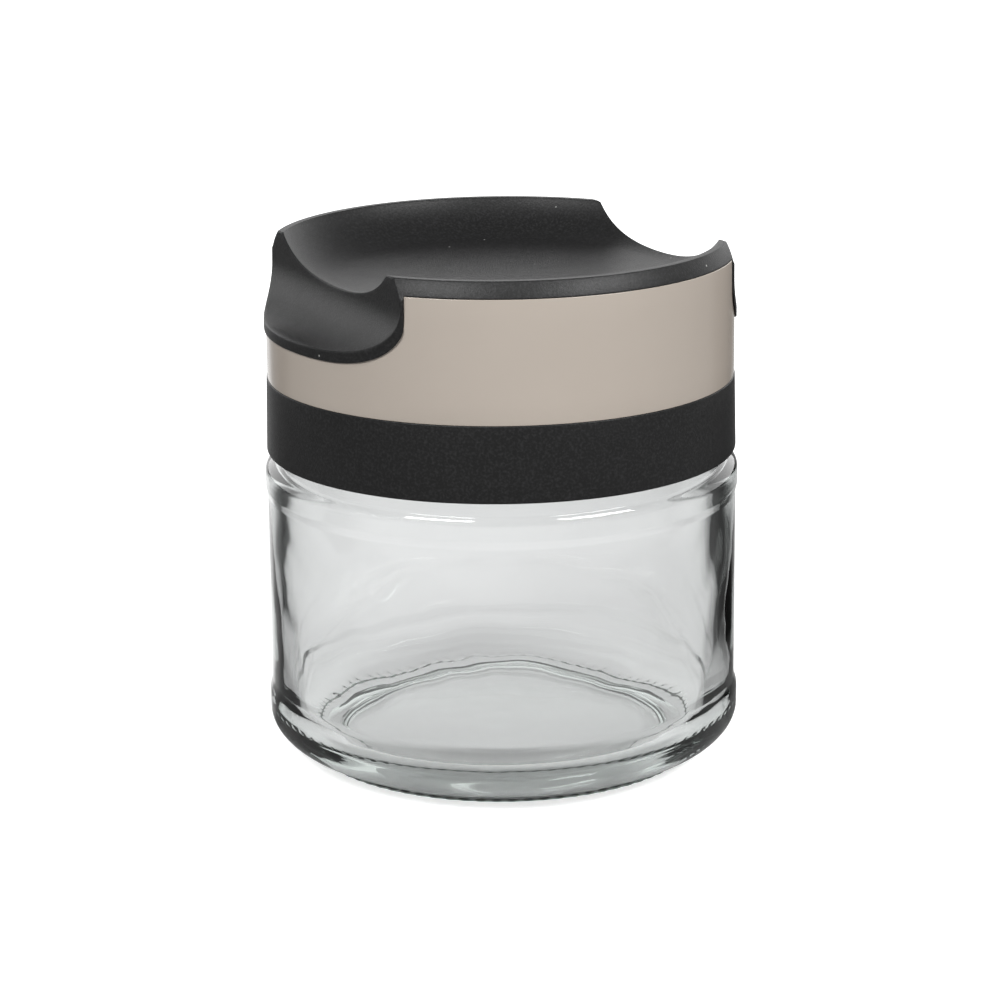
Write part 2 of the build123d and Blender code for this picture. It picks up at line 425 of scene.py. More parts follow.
def boreRibTree(values, taper=0.08, tip=0.05):
    # Thread ribs that stand inwards from the bore of the skirt, added to the piece
    net, get = newTree("boreRibs", values)
    line = net.geo("CurvePrimitiveLine")
    finer = net.geo("ResampleCurve", {"Curve": line, "Count": get["Steps"]})
    share = net.add("GeometryNodeSplineParameter").outputs["Factor"]
    swept = net.times(share, get["Sweep"])
    rise = net.times(swept, net.over(get["Lead"], 2 * pi))
    place = net.vector(net.times(net.calc("COSINE", swept), get["Bore radius"]),
                       net.times(net.calc("SINE", swept), get["Bore radius"]),
                       net.plus(rise, get["Start height"]))
    helix = net.geo("SetPosition", {"Geometry": finer, "Position": place})
    ends = net.times(net.step(share, 0.0, taper, tip, 1.0), net.step(share, 1 - taper, 1.0, 1.0, tip))
    sized = net.geo("SetCurveRadius", {"Curve": helix, "Radius": ends})
    upright = net.geo("SetCurveNormal", {"Curve": sized}, mode="Z_UP")
    outline = net.geo("CurvePrimitiveQuadrilateral", {
        "Width": net.times(get["Rib height"], 2.0), "Height": get["Rib width"]})
    soft = net.geo("FilletCurve", {
        "Curve": outline, "Count": 4, "Radius": net.times(get["Rib width"], get["Round share"])}, mode="POLY")
    rib = net.geo("CurveToMesh", {
        "Curve": upright, "Profile Curve": soft, "Fill Caps": True})
    spots, _, turn = ringSpots(net, get["Starts"])
    joined = net.add("GeometryNodeJoinGeometry", {0: ringCopies(net, spots, rib, turn)})
    net.feed(joined, {0: get["Geometry"]})
    return closeTree(net, get, joined.outputs[0])


def legRingTree(values):
    # Copies of one leg at even steps round the axis, but none on the scoops' axis
    net, get = newTree("legRing", values)
    spots, number, turn = ringSpots(net, get["Steps"])
    named = net.geo("StoreNamedAttribute", {
        "Geometry": spots, "Name": "legTurn", "Value": turn}, data_type="FLOAT")
    onAxis = net.calc("COMPARE", net.calc("MODULO", number, get["Leave out every"]), 0.0, 0.1)
    kept = net.geo("DeleteGeometry", {"Geometry": named, "Selection": onAxis})
    legTurn = net.geo("InputNamedAttribute", {"Name": "legTurn"}, data_type="FLOAT")
    return closeTree(net, get, ringCopies(net, kept, get["Geometry"], legTurn))


# Materials

def newMaterial(name):
    material = bpy.data.materials.new(name)
    material.use_nodes = True
    net = Net(material.node_tree)
    shader = material.node_tree.nodes["Principled BSDF"]
    return material, net, shader, net.add("ShaderNodeTexCoord").outputs["Object"]


def cloudyFinish(net, place, look):
    # Colour and roughness that each wander between two values
    cloud = net.noise(place, look.cloudScale, 3.0)
    patch = net.noise(place, look.patchScale, 2.0)
    return {"Base Color": net.mix(cloud, look.dark, look.light),
            "Roughness": net.ramp(patch, 0.3, 0.7, *look.roughness)}


blackLook = Sizes(
    dark=(0.0028, 0.0028, 0.0029, 1), light=(0.0040, 0.0040, 0.0041, 1), cloudScale=55.0,
    roughness=(0.445, 0.465), patchScale=240.0, ior=1.41,
    grainScale=3000.0, grainStrength=1.0, grainDepth=0.05 * mm,
    speckleScale=2100.0, speckle=0.5, pale=(0.026, 0.026, 0.027, 1),
    dust=(0.32, 0.32, 0.31, 1), dustCell=150.0, dustSize=0.030, dustShare=0.15)


def blackPlastic(name, dusty):
    look = blackLook
    material, net, shader, place = newMaterial(name)
    finish = cloudyFinish(net, place, look)
    speckle = net.ramp(net.noise(place, look.speckleScale, 1.0), 0.45, 0.75, 0.0, look.speckle)
    colour = net.mix(speckle, finish["Base Color"], look.pale)
    if dusty:
        cells = net.add("ShaderNodeTexVoronoi", {
            "Scale": look.dustCell, "Randomness": 1.0, "Vector": place}).outputs
        small = net.calc("LESS_THAN", cells["Distance"], look.dustSize)
        chosen = net.calc("GREATER_THAN", net.red(cells["Color"]), look.dustShare)
        colour = net.mix(net.times(small, chosen), colour, look.dust)
    grain = net.noise(place, look.grainScale, 3.0, 0.6)
    net.feed(shader, {**finish, "Base Color": colour, "IOR": look.ior,
                      "Normal": net.bump(grain, look.grainStrength, look.grainDepth)})
    return material


taupeLook = Sizes(
    dark=(0.392, 0.345, 0.300, 1), light=(0.408, 0.360, 0.314, 1), cloudScale=80.0,
    roughness=(0.10, 0.16), patchScale=350.0, ior=1.5,
    waveScale=70.0, waveStrength=0.35, waveDepth=0.05 * mm,
    fineScale=1500.0, fineStrength=0.05, fineDepth=0.01 * mm)


def taupePlastic(name):
    look = taupeLook
    material, net, shader, place = newMaterial(name)
    wave = net.bump(net.noise(place, look.waveScale, 1.0), look.waveStrength, look.waveDepth)
    fine = net.bump(net.noise(place, look.fineScale), look.fineStrength, look.fineDepth, wave)
    net.feed(shader, {**cloudyFinish(net, place, look), "IOR": look.ior, "Normal": fine})
    return material


glassLook = Sizes(
    ior=1.52, tint=(0.60, 0.80, 0.71, 1), density=14.0, roughness=(0.0, 0.012), patchScale=120.0,
    waveScale=45.0, waveStrength=0.4, waveDepth=0.10 * mm)


def clearGlass(name):
    look = glassLook
    material, net, shader, place = newMaterial(name)
    patch = net.noise(place, look.patchScale, 3.0)
    net.feed(shader, {
        "Base Color": (1, 1, 1, 1), "Transmission Weight": 1.0, "IOR": look.ior,
        "Roughness": net.ramp(patch, 0.45, 0.75, *look.roughness),
        "Normal": net.bump(net.noise(place, look.waveScale), look.waveStrength, look.waveDepth)})
    absorb = net.add("ShaderNodeVolumeAbsorption", {"Color": look.tint, "Density": look.density})
    net.feed(net.tree.nodes["Material Output"], {"Volume": absorb.outputs[0]})
    return material


sealLook = Sizes(
    dark=(0.72, 0.72, 0.69, 1), light=(0.80, 0.80, 0.77, 1), cloudScale=180.0,
    roughness=(0.42, 0.55), patchScale=420.0, grainScale=2400.0, grainStrength=0.2, grainDepth=0.02 * mm)


def softSeal(name):
    look = sealLook
    material, net, shader, place = newMaterial(name)
    grain = net.noise(place, look.grainScale)
    net.feed(shader, {**cloudyFinish(net, place, look),
                      "Normal": net.bump(grain, look.grainStrength, look.grainDepth)})
    return material


coverBlack = blackPlastic("coverBlack", True)
coreBlack = blackPlastic("coreBlack", False)
bandTaupe = taupePlastic("bandTaupe")
jarGlass = clearGlass("jarGlass")
sealWhite = softSeal("sealWhite")
print("materials made")


# Glass jar
glass = Sizes(
    pushUp=2.4, bearingInner=34.85, bearingOuter=38.05, footRadius=40.2, footRise=0.7,
    heelStart=40.25, heelCentre=35.95, heelDepth=12.2, heelTop=9.15, heelRise=7.9,
    heelRadius=48.15, beadFoot=12.8, beadTop=14.95, panelRadius=47.55, flareFoot=54.3,
    flareTop=55.9, shoulderRadius=47.9, coneFoot=59.77, coneRadius=44.9, coneTop=62.77,
    rootRadius=44.3, neckRadius=43.2, brimTop=75.55, brimDepth=2.0, mouthRadius=40.6,
    innerShoulder=61.1, innerSlope=2.7, innerRadius=43.3, innerHeelTop=12.4,
    floorRim=30.5, floorCentre=6.5, floorSwell=4.1)
footKnurls = {
    "Count": 80.0, "Depth": 0.16 * mm, "Bar share": 0.5, "Slope inside": 0.14, "Slope outside": 0.16,
    "Inner radius": 39.0 * mm, "Outer radius": 42.9 * mm, "Fade": 1.8 * mm, "Top": 3.0 * mm, "Full share": 0.4,
    "Inward": -0.8}
neckThread = {
    "Starts": 4.0, "Lead": 24.0 * mm, "Rib height": 1.2 * mm, "Crest width": 0.9 * mm, "Flank": 0.7 * mm,
    "Bottom": 63.4 * mm, "Top": 74.2 * mm, "Fade": 0.8 * mm, "Neck radius": 43.2 * mm}
# The inner walls and the floor, which are freely blown; each length is the size of a wave, and the wall's
# waves are (share, length, start)
blown = Sizes(
    wave=0.26, fade=14.0, calmRadius=38, floorWave=0.16, floorLength=24.0, floorStart=(5.0, 1.0, 9.0),
    ripple=0.12, rippleLength=2.3, rippleBend=1.5, rippleBendLength=15.0,
    floorFrom=15.0, floorFade=8.0, tilt=0.25, tiltRadius=40,
    shares=((1.0, 17.0, (3.1, 7.7, 1.3)), (0.25, 7.65, (11.0, 2.0, 5.0)), (0.10, 3.6, (2.0, 8.0, 4.0))))


def domeRings(rim, height, groups):
    # Rings at shares of the radius of a shallow dome's rim
    return [(share * rim, height(share * rim), count) for count, shares in groups for share in shares]


def glassRings():
    g = glass
    sphere = (g.bearingInner ** 2 + g.pushUp ** 2) / (2 * g.pushUp)

    def pushUpHeight(radius):
        return sqrt(sphere ** 2 - radius ** 2) - (sphere - g.pushUp)

    def floorHeight(radius):
        return g.floorCentre - sphere - g.floorSwell + sqrt((sphere + g.floorSwell) ** 2 - radius ** 2)

    rings = domeRings(g.bearingInner, pushUpHeight, (
        (120, (0, 0.03, 0.08, 0.16)), (240, (0.3, 0.45)), (480, (0.6, 0.75, 0.86, 0.93)), (960, (0.97,))))
    start = degrees(acos((g.heelStart - g.heelCentre) / g.heelDepth))
    heel = arcPath((g.heelCentre, g.heelTop), (g.heelDepth, g.heelRise), -start, 0, 16)
    foot = roundedPath([
        (g.bearingInner - 1.0, 0.09, 0), (g.bearingInner, 0, 0.5), (g.bearingOuter, 0, 1.2),
        (g.footRadius, g.footRise, 0.5), (heel[0].x, heel[0].y, 0)], 15)
    rings += [(p.x, p.y, 960) for p in divided(foot, 0.55) + heel[1:4]]
    wall = roundedPath([
        (g.heelRadius, g.heelTop, 0), (g.heelRadius, g.beadFoot, 4.0), (g.panelRadius, g.beadTop, 4.0),
        (g.panelRadius, g.flareFoot, 1.5), (g.shoulderRadius, g.flareTop, 1.5),
        (g.shoulderRadius, g.coneFoot, 2.7), (g.coneRadius, g.coneTop, 0.5),
        (g.rootRadius, g.coneTop + 0.06, 0)], 7)
    rings += [(p.x, p.y, 480) for p in heel[4:-1] + divided(wall, 5.0)]
    neck = roundedPath([
        (g.rootRadius, g.coneTop + 0.06, 0), (g.neckRadius, g.coneTop + 0.2, 0.4), (g.neckRadius, g.brimTop, 1.0),
        (g.mouthRadius, g.brimTop, 1.0), (g.mouthRadius, g.brimTop - g.brimDepth, 0)], 15)
    brimEdge = g.neckRadius - 0.9
    rings += [(p.x, p.y, 480) for p in divided(neck[1:], 0.29) if p.x > brimEdge]
    outside = len(rings)
    rings += [(p.x, p.y, 480) for p in neck if p.x <= brimEdge]
    inside = roundedPath([
        (g.mouthRadius, g.brimTop - g.brimDepth, 0), (g.mouthRadius, g.innerShoulder, 0.6),
        (g.innerRadius, g.innerShoulder - g.innerSlope, 1.4), (g.innerRadius, g.innerHeelTop, 0)], 7)
    heelInside = arcPath((g.floorRim, g.innerHeelTop), (
        g.innerRadius - g.floorRim, g.innerHeelTop - floorHeight(g.floorRim)), 0, -90, 18)
    rings += [(p.x, p.y, 240) for p in divided(inside[1:], 1.6) + heelInside[1:]]
    rings += domeRings(g.floorRim, floorHeight, (
        (240, (0.93, 0.86, 0.78, 0.7, 0.6)), (120, (0.5, 0.4, 0.3)), (60, (0.2, 0.1, 0.04, 0))))
    return rings, outside


def jarShift(outside):
    b = blown

    def shift(index, point):
        # The mould shapes the outside; the inside wanders
        if index < outside:
            return point
        flat = Vector((point.x, point.y, 0))
        fade = min(1.0, max(0.0, (glass.innerShoulder - point.z) / b.fade))
        moved = Vector(point)
        if flat.length > 1:
            waves = (share * noise.noise(point / length + Vector(start)) for share, length, start in b.shares)
            amount = sum(waves) * b.wave
            moved += flat.normalized() * amount * fade * min(1, flat.length / b.calmRadius)
        lift = noise.noise(flat / b.floorLength + Vector(b.floorStart))
        bend = b.rippleBend * noise.noise(flat / b.rippleBendLength)
        ripple = sin(flat.length / b.rippleLength + bend) * b.ripple
        low = min(1.0, max(0.0, (b.floorFrom - point.z) / b.floorFade))
        moved.z += ((lift + ripple) * b.floorWave + flat.x / b.tiltRadius * b.tilt) * low
        return moved

    return shift


rings, outsideEnd = glassRings()
glassBody = addObject("glassBody", ringMesh("glassBody", rings, shift=jarShift(outsideEnd)))
bakeTree(glassBody, knurlTree(footKnurls), jarGlass)
bakeTree(glassBody, threadTree(neckThread), jarGlass)
smoothShade(glassBody.data, 70)
print("glass jar:", len(glassBody.data.polygons), "faces")


# Seal ring
seal = Sizes(
    inner=39.9, outer=45.0, bottom=75.55, top=77.05, edge=0.28, seam=(76.3, 76.2),
    grooves=(43.5, 41.3), grooveHalf=0.4, grooveDepth=0.25, grooveRound=0.2)


def sealPath():
    s = seal
    corners = [(s.inner, s.seam[0], 0), (s.inner, s.top, s.edge), (s.outer, s.top, s.edge),
               (s.outer, s.bottom, s.edge)]
    for middle in s.grooves:
        corners += [(middle + s.grooveHalf, s.bottom, s.grooveRound),
                    (middle, s.bottom + s.grooveDepth, s.grooveRound),
                    (middle - s.grooveHalf, s.bottom, s.grooveRound)]
    return roundedPath(corners + [(s.inner, s.bottom, s.edge), (s.inner, s.seam[1], 0)], 20)


sealShell = addObject("sealShell", ringMesh("sealShell", [(p.x, p.y, 240) for p in sealPath()], closed=True))
sealShell.data.materials.append(sealWhite)
print("seal ring:", len(sealShell.data.polygons), "faces")


# Lid core
core = Sizes(
    deckBottom=77.05, deckTop=79.05, plugInner=38.5, plugOuter=39.6, plugBottom=73.05,
    bore=45.3, boreBevel=0.5, skirtBottom=63.25, footRadius=47.45, topRadius=47.15,
    skirtTop=78.4, upstandOuter=45.1, upstandInner=43.3, upstandTop=87.45, windowBottom=81.05,
    windowTop=83.4, windowSpan=15.0, windows=(60, 120, 240, 300), columnStep=1.25)
boreRibs = {
    "Starts": 4, "Lead": 24.0 * mm, "Sweep": radians(105), "Bore radius": 45.3 * mm, "Rib height": 1.3 * mm,
    "Rib width": 1.9 * mm, "Round share": 0.42, "Start height": 64.4 * mm, "Steps": 60}


def corePath():
    k = core
    return divided(roundedPath([
        (0, k.deckBottom, 0), (k.plugInner, k.deckBottom, 0.8), (k.plugInner, k.plugBottom, 0.35),
        (k.plugOuter, k.plugBottom, 0.35), (k.plugOuter, k.deckBottom, 0.3), (k.bore, k.deckBottom, 0.3),
        (k.bore, k.skirtBottom + k.boreBevel, 0.2), (k.bore + k.boreBevel, k.skirtBottom, 0.2),
        (k.footRadius, k.skirtBottom, 0.45), (k.topRadius, k.skirtTop, 0.22), (k.upstandOuter, k.skirtTop, 0),
        (k.upstandOuter, k.windowBottom, 0), (k.upstandOuter, k.windowTop, 0), (k.upstandOuter, k.upstandTop, 0),
        (k.upstandInner, k.upstandTop, 0), (k.upstandInner, k.windowTop, 0), (k.upstandInner, k.windowBottom, 0),
        (k.upstandInner, k.deckTop, 0.8), (0, k.deckTop, 0)], 15), 6.0)


def coreMesh():
    # A turned shell with four windows through its upstand
    k = core
    near, half = 0.01, k.windowSpan / 2
    sides = {a for w in k.windows for a in (w - half, w + half)}
    azimuths = sorted(sides | {a for a in spread(0, k.columnStep, round(360 / k.columnStep))
                               if all(abs(a - side) > 0.5 for side in sides)})
    path = corePath()
    verts = [turned(p, azimuth) for p in path for azimuth in azimuths]
    count = len(azimuths)
    isOpen = [any(w - half - near < a < w + half - near for w in k.windows) for a in azimuths]

    def inWindow(p, q):
        return (k.upstandInner - near < p.x < k.upstandOuter + near and abs(p.x - q.x) < near
                and k.windowBottom - near < (p.y + q.y) / 2 < k.windowTop + near)

    def row(radius, height):
        return next(i for i, p in enumerate(path) if abs(p.x - radius) < 0.001 and abs(p.y - height) < 0.001)

    faces = []
    for i in range(len(path) - 1):
        window = inWindow(path[i], path[i + 1])
        for j in range(count):
            if window and isOpen[j]:
                continue
            faces.append(quad(i * count, (i + 1) * count, j, (j + 1) % count))
    lowOut, highOut = row(k.upstandOuter, k.windowBottom), row(k.upstandOuter, k.windowTop)
    lowIn, highIn = row(k.upstandInner, k.windowBottom), row(k.upstandInner, k.windowTop)
    for j in range(count):
        n = (j + 1) % count
        if isOpen[j]:
            for out, inner in ((lowOut, lowIn), (highOut, highIn)):
                faces.append(quad(out * count, inner * count, j, n))
            for edge, side in ((j, isOpen[j - 1]), (n, isOpen[n])):
                if not side:
                    faces.append(tuple(rank * count + edge for rank in (lowOut, highOut, highIn, lowIn)))
    return finishMesh("coreShell", verts, faces)


coreShell = addObject("coreShell", coreMesh())
bakeTree(coreShell, boreRibTree(boreRibs), coreBlack)
print("lid core:", len(coreShell.data.polygons), "faces")


# Coloured band
band = Sizes(
    radius=47.0, bore=45.2, bottom=78.4, top=102.6, chord=35.7, floor=88.0, round=10.25,
    edge=0.14)


def notchLine(chord, floor, bend, top):
    # Outline of a notch from outside, along its floor, round and up its wall
    arc = arcPath((chord + bend, floor + bend), (bend, bend), -90, -180, 22)
    return Line2([Vector((beyond, floor)), Vector((chord + bend + 1.5, floor))] + arc
                 + run(arc[-1], Vector((chord, top)), 3))


def bandColumns(azimuths):
    b = band
    line = notchLine(b.chord, b.floor, b.round, b.top)
    columns = []
    for azimuth, angle in azimuths:
        c = slant(angle)
        low, edge = b.bottom, b.edge
        first = line.firstWhere(lambda p: p.x <= b.radius * c)
        last = line.firstWhere(lambda p: p.x <= b.bore * c)
        cut = b.radius * c > b.chord
        if not cut:
            first = last = line.end
        corner = line.at(first, c) if cut else Vector((b.radius, b.top))
        corner.x = b.radius
        lead = min(edge, last - first)
        rim = line.at(first + lead, c) if cut else Vector((b.radius, b.top))
        wallTop = min(b.radius, line.at(last, c).x) if cut else b.radius
        reachesTop = b.bore * c <= b.chord
        topStart = Vector((wallTop - (edge - lead), b.top)) if reachesTop else line.at(last, c)
        if not reachesTop:
            topStart.x = b.bore
        if lead < edge * 0.5:
            rim = topStart
        wallFoot = Vector((b.radius, low + edge))
        section = Section([Vector((b.bore + 0.6, low)), Vector((b.radius - edge, low))])
        section.bend(Vector((b.radius, low)), wallFoot, 3)
        section.append(wallFoot)
        section.to(Vector((b.radius, corner.y - edge)), 6)
        section.bend(corner, rim, 4)
        section += line.between(first + lead, last, c) if cut and lead >= edge * 0.5 else [rim] * len(line.path)
        section.to(Vector((b.bore, topStart.y)), 3)
        section.to(Vector((b.bore, low)), 5)
        columns.append((azimuth, section))
    return columns


# Azimuths lie closer together at the notch's wall
bandQuarter = sorted(spread(0, 1.25, 29) | spread(36.0, 0.12, 38) | spread(41.0, 1.25, 39) | {90.0})
bandShell = addObject("bandShell", columnMesh("bandShell", bandColumns(fullTurn(bandQuarter)), closed=True))
bandShell.data.materials.append(bandTaupe)
print("band:", len(bandShell.data.polygons), "faces")


# Top cover
cover = Sizes(
    radius=47.0, flange=102.6, rimTop=105.8, rimOuter=45.4, rimInner=43.8, rimEdge=0.3,
    bulge=0.12, dishFloor=96.8, bowl=305.0, dishRound=14.05, wall=2.0,
    chord=36.45, ledge=90.3, round=9.5, scoopEdge=0.45, ledgeEdge=0.4,
    lipRadius=47.4, lipChord=35.75, lipFloor=88.05, notchRound=10.25, lipEdge=0.25, lipTip=0.5,
    most=0.4,            # the largest share of a face that a round takes
    skirt=45.0, skirtBore=43.2, bottom=87.45,
    legOuter=43.1, legWall=1.8, legBottom=81.05, legBevel=1.0, legSpan=14.0,
    hookTop=83.25, hookReach=1.4, hookEdge=0.5, rootDepth=0.9, rootHeight=5.0)


def dishLines():
    v = cover
    centre = v.dishFloor + v.bowl
    reach = v.bowl - v.dishRound
    rimReach = hypot(v.rimInner, centre - v.rimTop)
    cosine = (rimReach ** 2 + reach ** 2 - v.dishRound ** 2) / (2 * rimReach * reach)
    turn = degrees(atan2(v.rimInner, centre - v.rimTop) - acos(cosine))
    roundAt = (reach * sin(radians(turn)), centre - reach * cos(radians(turn)))
    rimTurn = degrees(atan2(v.rimTop - roundAt[1], v.rimInner - roundAt[0]))
    bowl = arcPath((0, centre), (v.bowl, v.bowl), -90, turn - 90, 14)
    bend = arcPath(roundAt, (v.dishRound,) * 2, turn - 90, rimTurn, 18)
    corners = [(p.x, p.y, 0) for p in bowl + bend[1:-1]]
    corners += [(v.rimInner, v.rimTop, v.rimEdge), (v.rimOuter, v.rimTop, v.rimEdge)]
    across, down = v.radius - v.rimOuter, v.rimTop - v.flange
    length = hypot(across, down)
    for step in range(1, 8):
        t = step / 8
        swell = 4 * v.bulge * t * (1 - t)
        corners.append((v.rimOuter + across * t + swell * down / length,
                        v.rimTop - down * t + swell * across / length, 0))
    corners.append((v.radius, v.flange, 0))
    extra = v.lipRadius - v.radius
    corners += [(v.radius + extra / 2, v.flange - extra / 2 * down / across, 0),
                (v.lipRadius, v.flange - extra * down / across, 0)]
    top = Line2(roundedPath(corners, 12))
    underBowl = arcPath((0, centre), (v.bowl + v.wall,) * 2, -90, turn - 90, 8)
    underTurn = -degrees(acos((v.skirtBore - roundAt[0]) / (v.dishRound + v.wall)))
    underBend = arcPath(roundAt, (v.dishRound + v.wall,) * 2, turn - 90, underTurn, 12)
    return top, Line2(underBowl + underBend[1:])


def scoopLine(chord, ledge, bend, top):
    arc = arcPath((chord + bend, ledge + bend), (bend, bend), -180, -90, 20)
    return Line2(run(Vector((chord, top)), arc[0], 7)[:-1] + arc + run(arc[-1], Vector((beyond, ledge)), 2))


def coverColumns(azimuths, tipEnd):
    v = cover
    top, under = dishLines()
    outer = (v.chord, v.ledge, v.round)
    inner = (v.chord - v.wall, v.ledge - v.wall, v.round + v.wall)
    scoop, hollow = scoopLine(*outer, v.rimTop + 2), scoopLine(*inner, v.rimTop + 2)
    notch = notchLine(v.lipChord, v.lipFloor, v.notchRound, v.flange)

    def outlineX(height, chord, ledge, bend):
        down = ledge + bend - height
        return chord if down <= 0 else chord + bend - sqrt(max(0.0, bend ** 2 - down ** 2))

    columns = []
    for azimuth, angle in azimuths:
        c = slant(angle)
        hasLip = angle < tipEnd - 1e-4
        share = min(1.0, max(0.0, (angle - (tipEnd - v.lipTip)) / v.lipTip))
        reach = v.radius + (v.lipRadius - v.radius) * sqrt(1 - share ** 2) if hasLip else v.radius
        hasScoop = hasLip and reach * c > v.chord
        section = Section()
        if hasScoop:
            cut = top.firstWhere(lambda p: p.x * c >= outlineX(p.y, *outer))
            corner = top.at(cut)
            first = scoop.firstWhere(lambda p: p.y <= corner.y)
            last = scoop.firstWhere(lambda p: p.x >= reach * c)
            edge = min(v.scoopEdge, (last - first) * v.most)
            section += top.between(0, cut - edge)
            section.bend(corner, scoop.at(first + edge, c), 5)
            ledgeEdge = min(v.ledgeEdge, (last - first) * v.most)
            section += scoop.between(first + edge, last - ledgeEdge, c)
            faceTop = Vector((reach, scoop.at(last).y))
        else:
            last = top.firstWhere(lambda p: p.x >= reach) if not hasLip or reach < v.lipRadius else top.end
            edge = 0.0 if hasLip else v.rimEdge
            corner = Vector((reach, top.at(last).y))
            section += top.between(0, last - edge)
            inward = Vector((reach - edge, corner.y))
            section.bend(corner, inward, 5)
            section += [inward] * len(scoop.path)
            faceTop, ledgeEdge = inward, 0.0
        if hasLip:
            begin = notch.firstWhere(lambda p: p.x <= reach * c)
            end = notch.end if v.skirt * c <= v.lipChord else notch.firstWhere(lambda p: p.x <= v.skirt * c)
            faceEnd = Vector((reach, notch.at(begin).y))
            height = faceTop.y - faceEnd.y
            soft, low = min(ledgeEdge, height * v.most), min(v.lipEdge, height * v.most)
            section.bend(faceTop, faceTop - Vector((0, soft)), 4)
            section.append(faceTop - Vector((0, soft)))
            section.to(faceEnd + Vector((0, low)), 3)
            lead = min(v.lipEdge, (end - begin) * v.most)
            section.bend(faceEnd, notch.at(begin + lead, c), 3)
            section += notch.between(begin + lead, end, c)
        else:
            # As many points as the lip has
            section += [faceTop] * (4 + 1 + 3 + 3 + len(notch.path))
        here = section[-1]
        if v.skirt * c > v.lipChord:
            here = Vector((v.skirt, here.y))
        section += run(here, Vector((v.skirt, here.y)), 3)
        section.to(Vector((v.skirt, v.bottom)), 5)
        section.to(Vector((v.skirtBore, v.bottom)), 2)
        if v.skirtBore * c > inner[0]:
            stop = hollow.firstWhere(lambda p: p.x >= v.skirtBore * c)
            cut = under.firstWhere(lambda p: p.x * c >= outlineX(p.y, *inner))
            begin = hollow.firstWhere(lambda p: p.y <= under.at(cut).y)
            section.to(Vector((v.skirtBore, hollow.at(stop).y)), 4)
            section += hollow.between(begin, stop, c)[::-1]
        else:
            cut = under.end
            section.to(under.at(under.end), 4)
            section += [section[-1]] * len(hollow.path)
        section += under.between(0, cut)[::-1]
        columns.append((azimuth, section))
    return columns


tipAngle = degrees(acos(cover.lipChord / cover.radius))
# Azimuths lie closer together at the scoop's edge and at the lip's tip
coverQuarter = sorted(spread(0, 1.25, 28) | spread(34.6, 0.3, 13) | spread(38.5, 0.07, 12)
                      | {tipAngle - 0.001, tipAngle + 0.01} | spread(39.6, 0.25, 5)
                      | spread(41.5, 1.25, 39) | {90.0})
coverShell = addObject("coverShell", columnMesh("coverShell", coverColumns(fullTurn(coverQuarter), tipAngle)))
print("top cover:", len(coverShell.data.polygons), "faces")


def snapLeg():
    # One leg with its hook, on the scoops' axis; the tree copies it to its four places
    v = cover
    inner = v.legOuter - v.legWall
    path = roundedPath([
        (inner, v.legBottom, 0.3), (v.legOuter, v.legBottom, 0.3),
        (v.legOuter + v.hookReach, v.hookTop - v.hookEdge, 0.2), (v.legOuter + v.hookReach, v.hookTop, 0.2),
        (v.legOuter, v.hookTop, 0.2), (v.legOuter, v.bottom, 0),
        (v.skirtBore + v.rootDepth, v.bottom, 0), (v.skirtBore + v.rootDepth, v.bottom + v.rootHeight, 0),
        (inner, v.bottom + v.rootHeight, 0), (inner, v.legBottom + v.legBevel, 0)], 30)
    verts, faces = [], []
    steps, n = 12, len(path)
    for step in range(steps + 1):
        verts += [turned(p, v.legSpan * (step / steps - 0.5)) for p in path]
    for start in range(0, steps * n, n):
        faces += [quad(start, start + n, i, (i + 1) % n) for i in range(n)]
    faces += [tuple(range(n)), tuple(range(steps * n, (steps + 1) * n))]
    return finishMesh("snapLeg", verts, faces)


legs = addObject("snapLegs", snapLeg())
bakeTree(legs, legRingTree({"Steps": 6, "Leave out every": 3}), coverBlack)
coverShell.data.materials.append(coverBlack)
joined = bmesh.new()
joined.from_mesh(coverShell.data)
joined.from_mesh(legs.data)
joined.to_mesh(coverShell.data)
joined.free()
bpy.data.objects.remove(legs)
print("snap legs joined")


# Bodies, nodes and slots
for piece, body, node, slot in (
        (glassBody, "jar", "glass_jar", "glass"), (sealShell, "seal", "seal_ring", "seal_white"),
        (coreShell, "lid", "lid_core", "black_plastic"), (bandShell, "lid", "colour_band", "taupe_plastic"),
        (coverShell, "lid", "top_cover", "black_plastic")):
    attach(piece, body)
    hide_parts(node)


# Camera
view = Sizes(azimuth=-27.0, elevation=15.45, distance=658.0, aim=51.1, lens=116.1, roll=-0.51, shiftX=-0.0018)
target = Vector((0, 0, view.aim * mm))


def around(turn, elevation, distance):
    # A point round the object; the turn is counted from the camera, to the right
    a, e = radians(view.azimuth + turn), radians(elevation)
    away = Vector((sin(a) * cos(e), -cos(a) * cos(e), sin(e)))
    return target + away * distance * mm


camera = addObject("camera", bpy.data.cameras.new("camera"))
camera.location = around(0, view.elevation, view.distance)
facing = (target - camera.location).to_track_quat("-Z", "Y")
camera.rotation_euler = (facing.to_matrix() @ Matrix.Rotation(radians(view.roll), 3, "Z")).to_euler()
camera.data.lens = view.lens
camera.data.shift_x = view.shiftX
camera.data.clip_start, camera.data.clip_end = 0.01, 20
bpy.context.scene.camera = camera


